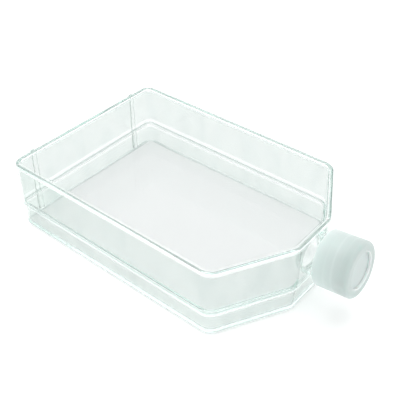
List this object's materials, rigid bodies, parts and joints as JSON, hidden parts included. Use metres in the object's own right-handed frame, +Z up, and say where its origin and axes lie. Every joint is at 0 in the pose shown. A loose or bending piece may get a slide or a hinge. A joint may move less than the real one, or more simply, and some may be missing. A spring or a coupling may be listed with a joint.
{
  "type": "cell culture flask",
  "caption": "Flat six-sided clear cell culture flask with a stacking rim, a canted round neck and a vented screw cap.",
  "frame": {"origin": "on the table, under the middle of the vessel, halfway between the outsides of its back and front walls", "axes": "+X along the flask towards its neck and cap, +Z up from the base to the stacking rim"},
  "size_m": [0.2028, 0.118, 0.0508],
  "materials": {
    "clear_polystyrene": "clear, polished",
    "cap_polyethylene": "translucent white, satin",
    "filter_membrane": "white, matt"
  },
  "bodies": {
    "vessel": {"body_shell": "clear_polystyrene", "base_tray": "clear_polystyrene"},
    "membrane": {"vent_membrane": "filter_membrane"},
    "cap": {"cap_shell": "cap_polyethylene"}
  },
  "joints": [
    {"name": "cap_rise", "type": "slide", "parent": "vessel", "child": "membrane", "axis": [0.9925, 0, 0.1219], "range_m": [0, 0.0226]},
    {"name": "cap_turn", "type": "hinge", "parent": "membrane", "child": "cap", "pos_m": [0.086, 0, 0.03221], "axis": [0.9925, 0, 0.1219], "range_deg": [0, 1800]}
  ],
  "couplings": [
    {"joint": "cap_rise", "follows": "cap_turn", "m_per_rad": 0.0007162}
  ]
}
